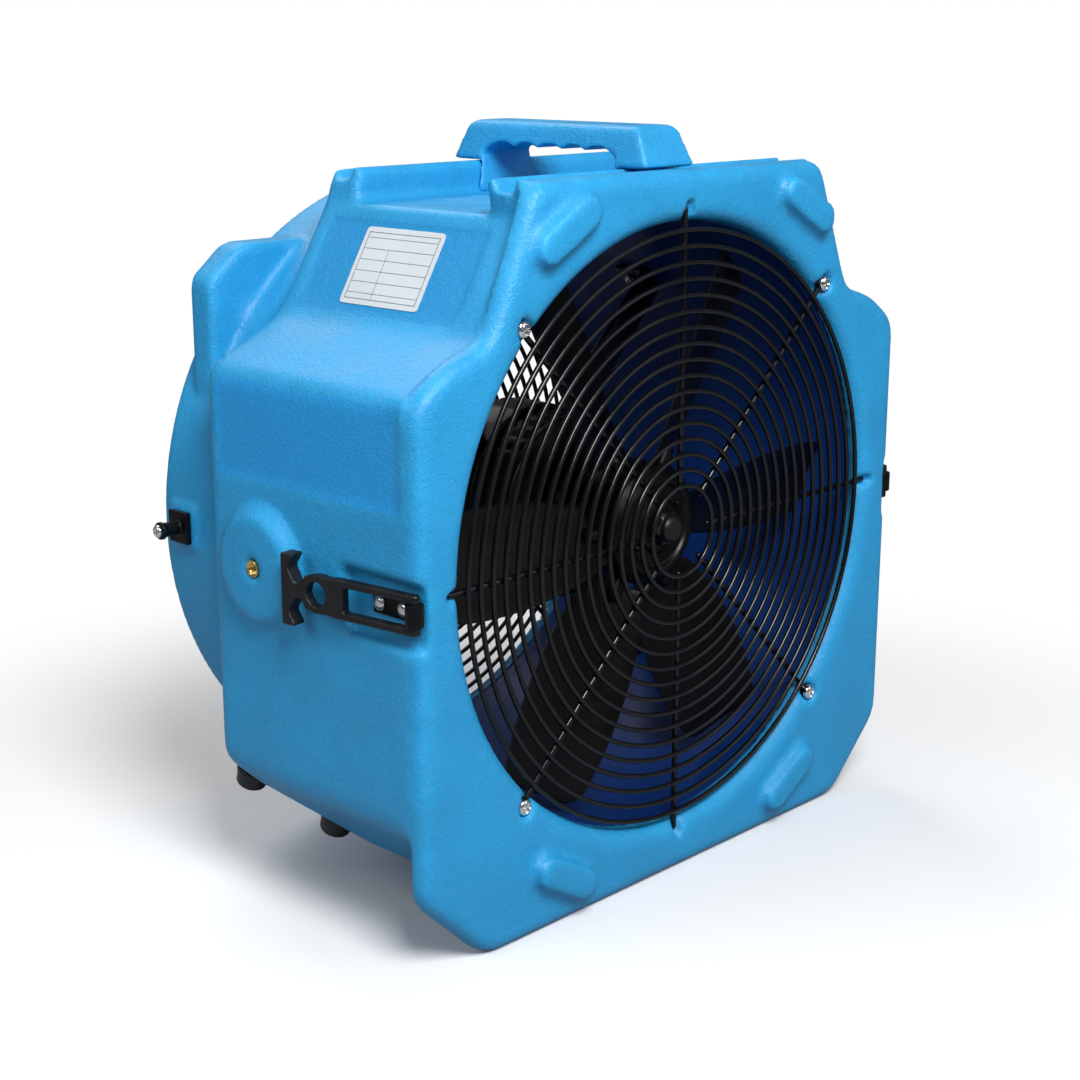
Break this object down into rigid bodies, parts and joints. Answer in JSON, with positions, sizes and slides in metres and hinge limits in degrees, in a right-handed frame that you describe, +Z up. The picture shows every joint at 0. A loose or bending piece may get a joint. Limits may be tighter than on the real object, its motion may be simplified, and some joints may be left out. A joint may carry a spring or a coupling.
{
  "type": "car dryer blower",
  "caption": "Axial car dryer blower: a guarded fan and motor in a moulded blue housing with a top handle and side draw latches",
  "frame": {"origin": "centre of the footprint, on the ground plane that the front panel's lower edge and the rear skid rest on", "axes": "+Z up; +Y from the guarded front face to the rear inlet; +X to the right seen from the front"},
  "size_m": [0.5164, 0.286, 0.508],
  "materials": {
    "housing_blue": "moulded, fine orange-peel grain",
    "duct_blue": "moulded, smooth",
    "guard_wire": "black coated wire",
    "black_plastic": "satin",
    "rubber": "matt",
    "chrome": "bright",
    "steel": "turned",
    "motor_paint": "semi-gloss",
    "copper": "enamelled winding",
    "brass": "machined",
    "red": "gloss",
    "label": "satin film"
  },
  "bodies": {
    "housing": {"front_panel": "housing_blue", "main_housing": "housing_blue", "rear_shroud": "housing_blue", "carry_handle": "housing_blue", "duct_sleeve": "duct_blue", "front_guard": "guard_wire", "rear_guard": "guard_wire", "front_guard_screw_1": "chrome", "front_guard_screw_2": "chrome", "front_guard_screw_3": "chrome", "front_guard_screw_4": "chrome", "rear_guard_screw_1": "chrome", "rear_guard_screw_2": "chrome", "rear_guard_screw_3": "chrome", "rear_guard_screw_4": "chrome", "latch_rivet_left_1": "chrome", "latch_rivet_left_2": "chrome", "latch_rivet_right_1": "chrome", "latch_rivet_right_2": "chrome", "keeper_screw_left": "chrome", "keeper_screw_right": "chrome", "latch_bracket_left": "black_plastic", "latch_bracket_right": "black_plastic", "keeper_left": "black_plastic", "keeper_right": "black_plastic", "control_plate": "black_plastic", "cord_gland": "black_plastic", "run_capacitor": "black_plastic", "bumper_foot_1": "rubber", "bumper_foot_2": "rubber", "bumper_foot_3": "rubber", "bumper_foot_4": "rubber", "front_bearing": "steel", "rear_bearing": "steel", "mount_screw_1": "steel", "mount_screw_2": "steel", "mount_screw_3": "steel", "mount_screw_4": "steel", "motor_stator": "copper", "motor_shell": "motor_paint", "front_end_bell": "motor_paint", "rear_end_bell": "motor_paint", "motor_mount": "motor_paint", "pivot_insert_left": "brass", "pivot_insert_right": "brass", "rating_label": "label"},
    "fan": {"fan_hub": "black_plastic", "fan_blade_1": "black_plastic", "fan_blade_2": "black_plastic", "fan_blade_3": "black_plastic", "fan_blade_4": "black_plastic", "fan_blade_5": "black_plastic", "fan_blade_6": "black_plastic", "fan_nut": "motor_paint", "motor_shaft": "steel", "motor_rotor": "steel"},
    "latch_left": {"latch_strap_left": "rubber"},
    "latch_right": {"latch_strap_right": "rubber"},
    "power_rocker": {"power_rocker": "red"},
    "reset_button": {"reset_button": "red"}
  },
  "joints": [
    {"name": "fan_spin", "type": "hinge", "parent": "housing", "child": "fan", "pos_m": [0, -0.093, 0.243], "axis": [0, 1, 0], "continuous": true},
    {"name": "latch_left_swing", "type": "hinge", "parent": "housing", "child": "latch_left", "pos_m": [-0.2407, -0.128, 0.237], "axis": [0, 0, 1], "range_deg": [0, 165]},
    {"name": "latch_right_swing", "type": "hinge", "parent": "housing", "child": "latch_right", "pos_m": [0.2407, -0.128, 0.237], "axis": [0, 0, -1], "range_deg": [0, 165]},
    {"name": "power_rocker_tilt", "type": "hinge", "parent": "housing", "child": "power_rocker", "pos_m": [0.2385, -0.086, 0.151], "axis": [0, 0, 1], "range_deg": [0, 18]},
    {"name": "reset_button_push", "type": "slide", "parent": "housing", "child": "reset_button", "axis": [-1, 0, 0], "range_m": [0, 0.003], "stiffness_N_per_m": 400, "springref_m": -0.001}
  ]
}
